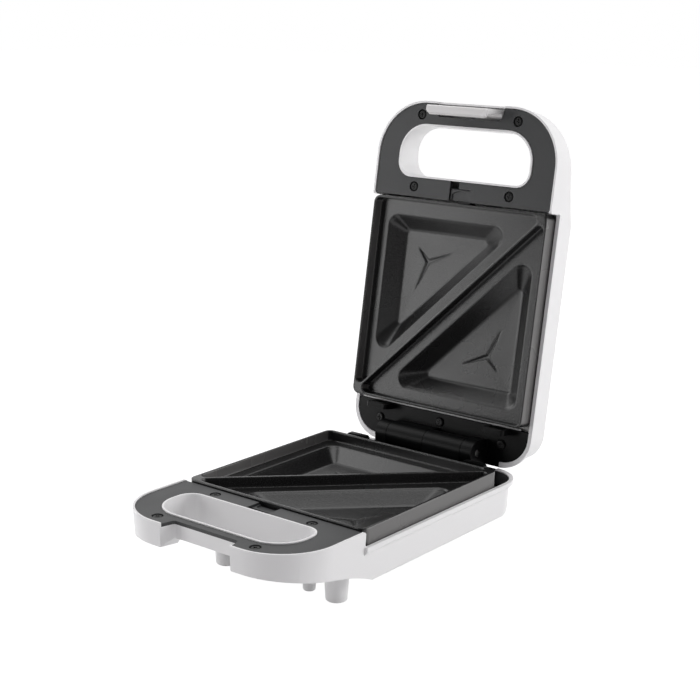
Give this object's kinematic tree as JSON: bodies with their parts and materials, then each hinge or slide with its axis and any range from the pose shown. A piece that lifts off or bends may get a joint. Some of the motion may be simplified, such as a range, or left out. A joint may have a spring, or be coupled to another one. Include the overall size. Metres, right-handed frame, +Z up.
{
  "type": "sandwich toaster",
  "caption": "Hinged sandwich toaster standing open, with two-pocket cooking plates, looped carrying handles, a hook latch and a plate release in each half.",
  "frame": {"origin": "middle of the footprint of the open toaster, on the floor", "axes": "+X to the right seen from the handle, +Y from the handle towards the hinge, +Z up; the hinge pin lies along X"},
  "size_m": [0.1364, 0.268, 0.2602],
  "materials": {
    "shell_white": "smooth white moulding",
    "cover_charcoal": "fine satin texture",
    "frame_black": "fine satin texture",
    "latch_white": "warm white moulding",
    "plate_coating": "dark non-stick coating on a casting",
    "reflector_steel": "bright rolled sheet",
    "heater_steel": "heat-tinted tube",
    "screw_black": "black zinc",
    "pin_steel": "drawn wire",
    "block_ceramic": "unglazed",
    "lens_red": "clear tinted lens",
    "gland_black": "soft moulding"
  },
  "bodies": {
    "base": {"lower_shell": "shell_white", "lower_cover": "cover_charcoal", "lower_cover_screws": "screw_black", "lower_plate": "plate_coating", "lower_reflector": "reflector_steel", "lower_reflector_screws": "pin_steel", "lower_heater": "heater_steel", "lower_frame": "frame_black", "lower_frame_screws": "screw_black", "hinge_pin": "pin_steel", "terminal_block": "block_ceramic", "cord_gland": "gland_black"},
    "lid": {"upper_shell": "shell_white", "upper_cover": "cover_charcoal", "upper_cover_screws": "screw_black", "upper_plate": "plate_coating", "upper_reflector": "reflector_steel", "upper_reflector_screws": "pin_steel", "upper_heater": "heater_steel", "upper_frame": "frame_black", "upper_frame_screws": "screw_black", "thermostat": "pin_steel", "lamp_lenses": "lens_red", "latch_pin": "pin_steel"},
    "lower_release": {"lower_release": "cover_charcoal"},
    "upper_release": {"upper_release": "cover_charcoal"},
    "latch": {"latch": "latch_white"}
  },
  "joints": [
    {"name": "lid_hinge", "type": "hinge", "parent": "base", "child": "lid", "pos_m": [0, 0.07995, 0.049], "axis": [1, 0, 0], "range_deg": [0, 99]},
    {"name": "latch_hinge", "type": "hinge", "parent": "lid", "child": "latch", "pos_m": [0, 0.11798, 0.25397], "axis": [1, 0, 0], "range_deg": [-20, 5.6]},
    {"name": "lower_release_slide", "type": "slide", "parent": "base", "child": "lower_release", "axis": [0, -1, 0], "range_m": [0, 0.0024], "stiffness_N_per_m": 100, "springref_m": -0.002},
    {"name": "upper_release_slide", "type": "slide", "parent": "lid", "child": "upper_release", "axis": [0, 0.1564, 0.9877], "range_m": [0, 0.0024], "stiffness_N_per_m": 100, "springref_m": -0.002}
  ]
}
